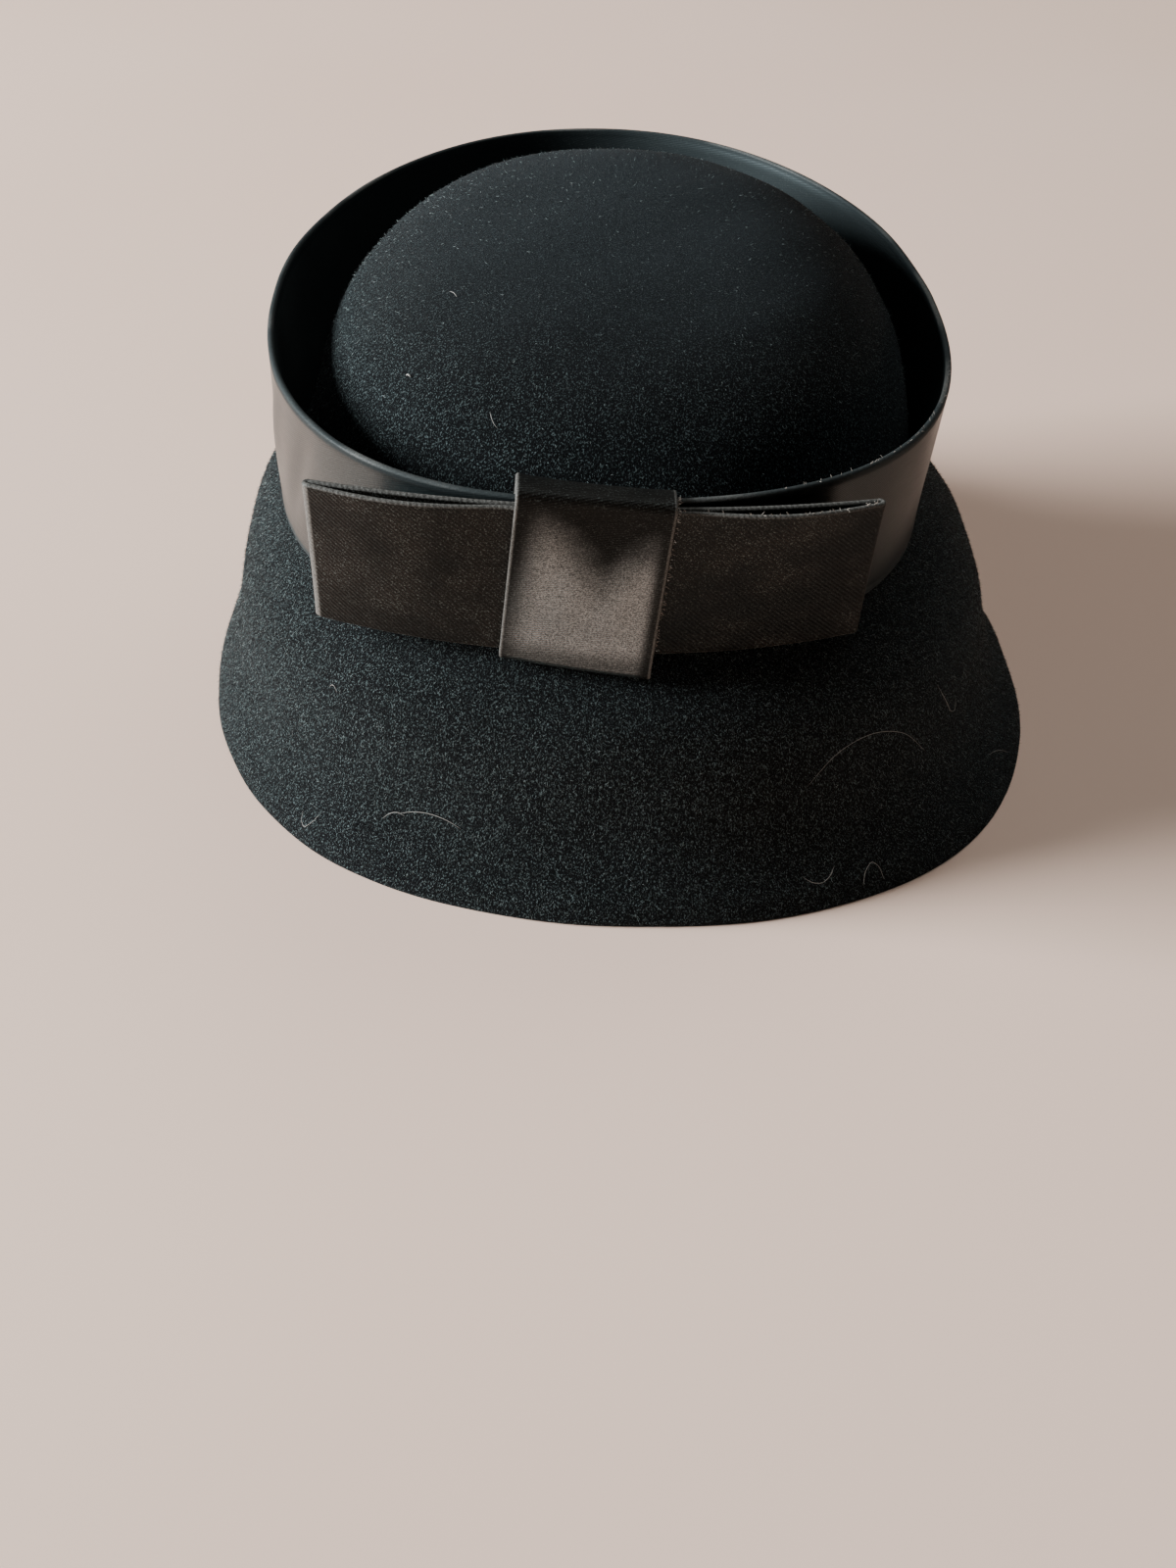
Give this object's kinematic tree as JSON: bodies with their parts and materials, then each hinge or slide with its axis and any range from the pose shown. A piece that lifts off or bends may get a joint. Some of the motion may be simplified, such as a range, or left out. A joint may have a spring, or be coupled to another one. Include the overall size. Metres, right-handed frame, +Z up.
{
  "type": "felt cloche hat",
  "caption": "Deep bell-shaped felt hat with a rounded crown, a standing satin band round it and a flat ribbon bow at the back.",
  "frame": {"origin": "on the surface that the hat rests on, under the middle of the brim", "axes": "+X across the head, the bow at the back on the -Y side, +Y towards the far end of the brim, +Z up"},
  "size_m": [0.241, 0.269, 0.142],
  "materials": {
    "felt": "black brushed fur felt, deep nap with a faint blue cast",
    "satin": "black satin, smooth with a soft sheen",
    "ribbon": "black satin ribbon with a fine diagonal twill",
    "knot_ribbon": "black satin ribbon, plain weave, brighter sheen"
  },
  "bodies": {
    "root": {"felt_body": "felt", "satin_band": "satin", "bow_loops": "ribbon", "bow_knot": "knot_ribbon"}
  },
  "joints": []
}
